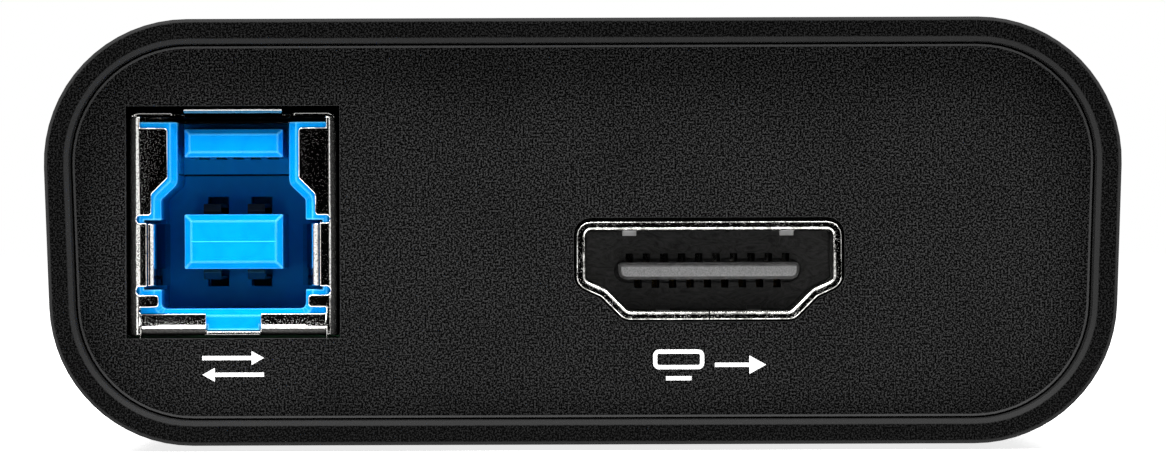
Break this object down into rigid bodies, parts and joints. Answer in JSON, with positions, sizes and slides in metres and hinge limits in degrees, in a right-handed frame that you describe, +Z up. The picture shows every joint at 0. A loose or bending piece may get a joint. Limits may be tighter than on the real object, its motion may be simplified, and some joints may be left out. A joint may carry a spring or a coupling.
{
  "type": "video capture box",
  "caption": "Small rounded metal box that takes in video and sends it to a computer: recessed end panels, a square data port, video sockets and a circuit board inside.",
  "frame": {"origin": "under the middle of the box, on the surface that it stands on", "axes": "+Z up, +Y along the box from the rear end with the data port to the front end with the video input, +X to the right when the rear end is seen from outside"},
  "size_m": [0.0608, 0.099, 0.0245],
  "materials": {
    "sleeve": "fine matt black coat",
    "panel": "fine sparked texture, black",
    "screw": "blackened",
    "insert": "machined",
    "foot": "matt",
    "board": "solder mask",
    "socket_metal": "bright plated",
    "blue_insulator": "moulded",
    "black_insulator": "moulded",
    "contact": "gold plated",
    "clear_pipe": "clear acrylic",
    "light_body": "moulded",
    "chip": "moulded epoxy",
    "pad": "soft",
    "heat_sink": "anodised",
    "crystal_can": "pressed",
    "capacitor_can": "drawn",
    "capacitor_base": "moulded",
    "inductor": "pressed powder",
    "ceramic": "ceramic"
  },
  "bodies": {
    "casing": {"sleeve": "sleeve", "rear_panel": "panel", "front_panel": "panel", "panel_screws": "screw", "threaded_inserts": "insert", "rubber_feet": "foot", "main_board": "board", "data_port_can": "socket_metal", "data_port_insulator": "blue_insulator", "data_port_contacts": "contact", "data_port_fast_contacts": "contact", "video_out_can": "socket_metal", "video_out_insulator": "black_insulator", "video_out_contacts": "contact", "video_in_can": "socket_metal", "video_in_insulator": "black_insulator", "video_in_contacts": "contact", "light_pipe": "clear_pipe", "status_light": "light_body", "video_processor": "chip", "thermal_pad": "pad", "heat_sink": "heat_sink", "memory_chips": "chip", "data_bridge_chip": "chip", "video_receiver_chip": "chip", "video_driver_chip": "chip", "firmware_chip": "chip", "crystals": "crystal_can", "filter_capacitors": "capacitor_can", "capacitor_bases": "capacitor_base", "power_inductors": "inductor", "voltage_regulators": "chip", "chip_components": "ceramic"},
    "data_left_leaf": {"data_port_left_leaf": "socket_metal"},
    "data_right_leaf": {"data_port_right_leaf": "socket_metal"},
    "video_out_top_springs": {"video_out_top_leaves": "socket_metal"},
    "video_out_bottom_springs": {"video_out_bottom_leaves": "socket_metal"},
    "video_in_top_springs": {"video_in_top_leaves": "socket_metal"},
    "video_in_bottom_springs": {"video_in_bottom_leaves": "socket_metal"}
  },
  "joints": [
    {"name": "data_left_leaf_flex", "type": "hinge", "parent": "casing", "child": "data_left_leaf", "pos_m": [-0.02469, -0.04638, 0.01113], "axis": [0, 0, 1], "range_deg": [0, 3.5], "stiffness_Nm_per_rad": 0.16},
    {"name": "data_right_leaf_flex", "type": "hinge", "parent": "casing", "child": "data_right_leaf", "pos_m": [-0.01501, -0.04638, 0.01113], "axis": [0, 0, -1], "range_deg": [0, 3.5], "stiffness_Nm_per_rad": 0.16},
    {"name": "video_out_top_leaves_flex", "type": "hinge", "parent": "casing", "child": "video_out_top_springs", "pos_m": [0.00715, -0.0458, 0.01254], "axis": [1, 0, 0], "range_deg": [0, 4], "stiffness_Nm_per_rad": 0.12},
    {"name": "video_out_bottom_leaves_flex", "type": "hinge", "parent": "casing", "child": "video_out_bottom_springs", "pos_m": [0.00715, -0.0458, 0.00775], "axis": [-1, 0, 0], "range_deg": [0, 4], "stiffness_Nm_per_rad": 0.12},
    {"name": "video_in_top_leaves_flex", "type": "hinge", "parent": "casing", "child": "video_in_top_springs", "pos_m": [0, 0.0458, 0.01254], "axis": [-1, 0, 0], "range_deg": [0, 4], "stiffness_Nm_per_rad": 0.12},
    {"name": "video_in_bottom_leaves_flex", "type": "hinge", "parent": "casing", "child": "video_in_bottom_springs", "pos_m": [0, 0.0458, 0.00775], "axis": [1, 0, 0], "range_deg": [0, 4], "stiffness_Nm_per_rad": 0.12}
  ]
}
